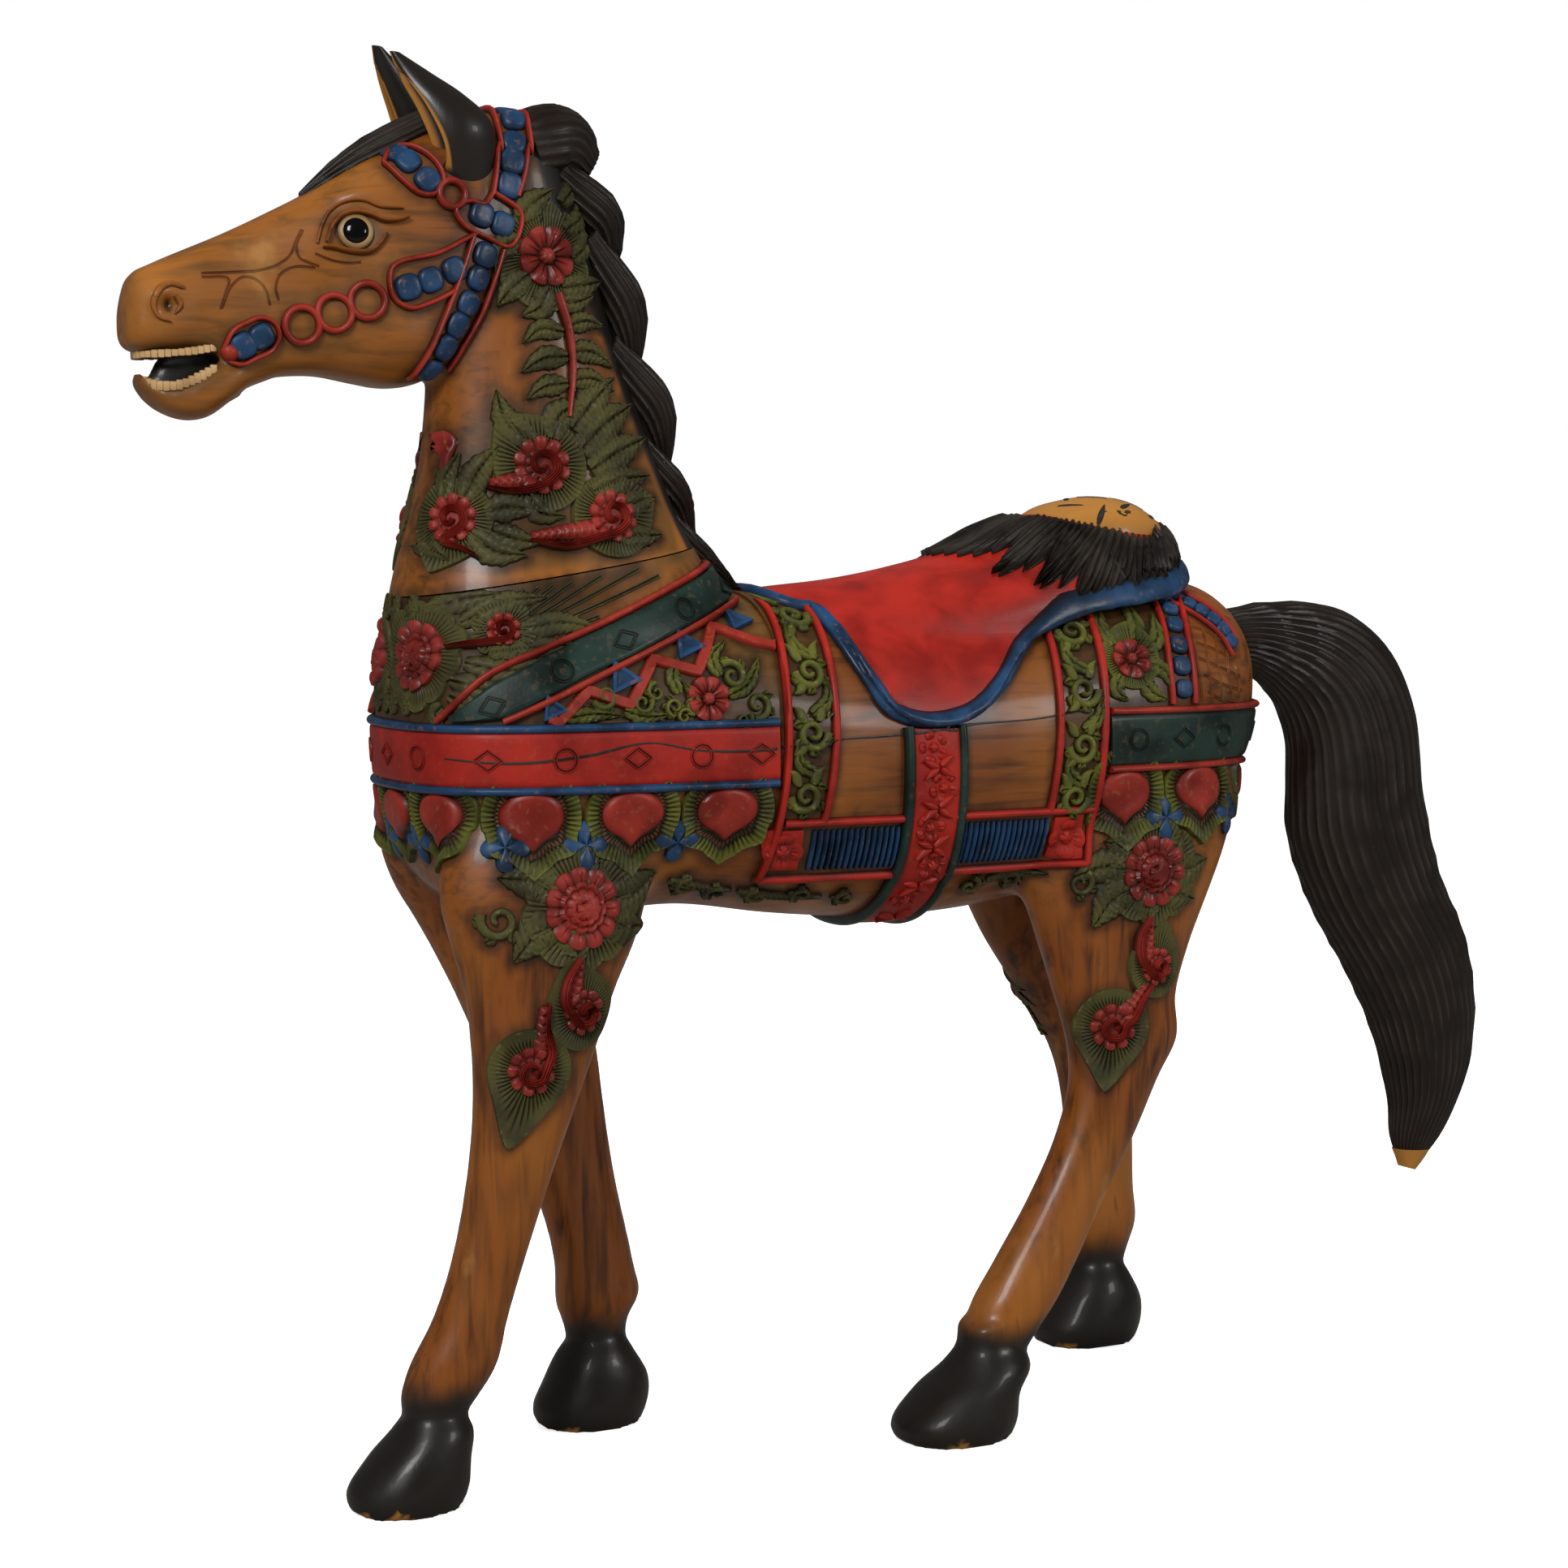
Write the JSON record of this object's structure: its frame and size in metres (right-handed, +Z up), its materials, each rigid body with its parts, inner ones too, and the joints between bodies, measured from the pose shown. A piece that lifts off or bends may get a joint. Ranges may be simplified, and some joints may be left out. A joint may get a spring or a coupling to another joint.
{
  "type": "carousel horse",
  "caption": "Standing carved wooden carousel horse with a saddle, blanket, bridle and flower-carved trappings, painted and waxed, on its own hooves.",
  "frame": {"origin": "middle of the horse's box in plan, on the ground under its hooves", "axes": "-X is the way the horse faces, -Y is its left side, +Z is up"},
  "size_m": [1.3604, 0.3238, 1.194],
  "materials": {
    "waxed_wood": "carved brown wood, stained and waxed, with dark crevices and rubbed edges",
    "red_paint": "thin red paint rubbed through to the wood on the edges",
    "green_paint": "thin dark green paint rubbed through to the wood on the edges",
    "blue_paint": "thin blue paint rubbed through to the wood on the edges",
    "black_paint": "worn black paint on fluted hair and hooves"
  },
  "bodies": {
    "root": {"body": "waxed_wood", "neck_and_head": "waxed_wood", "tail": "black_paint"}
  },
  "joints": []
}
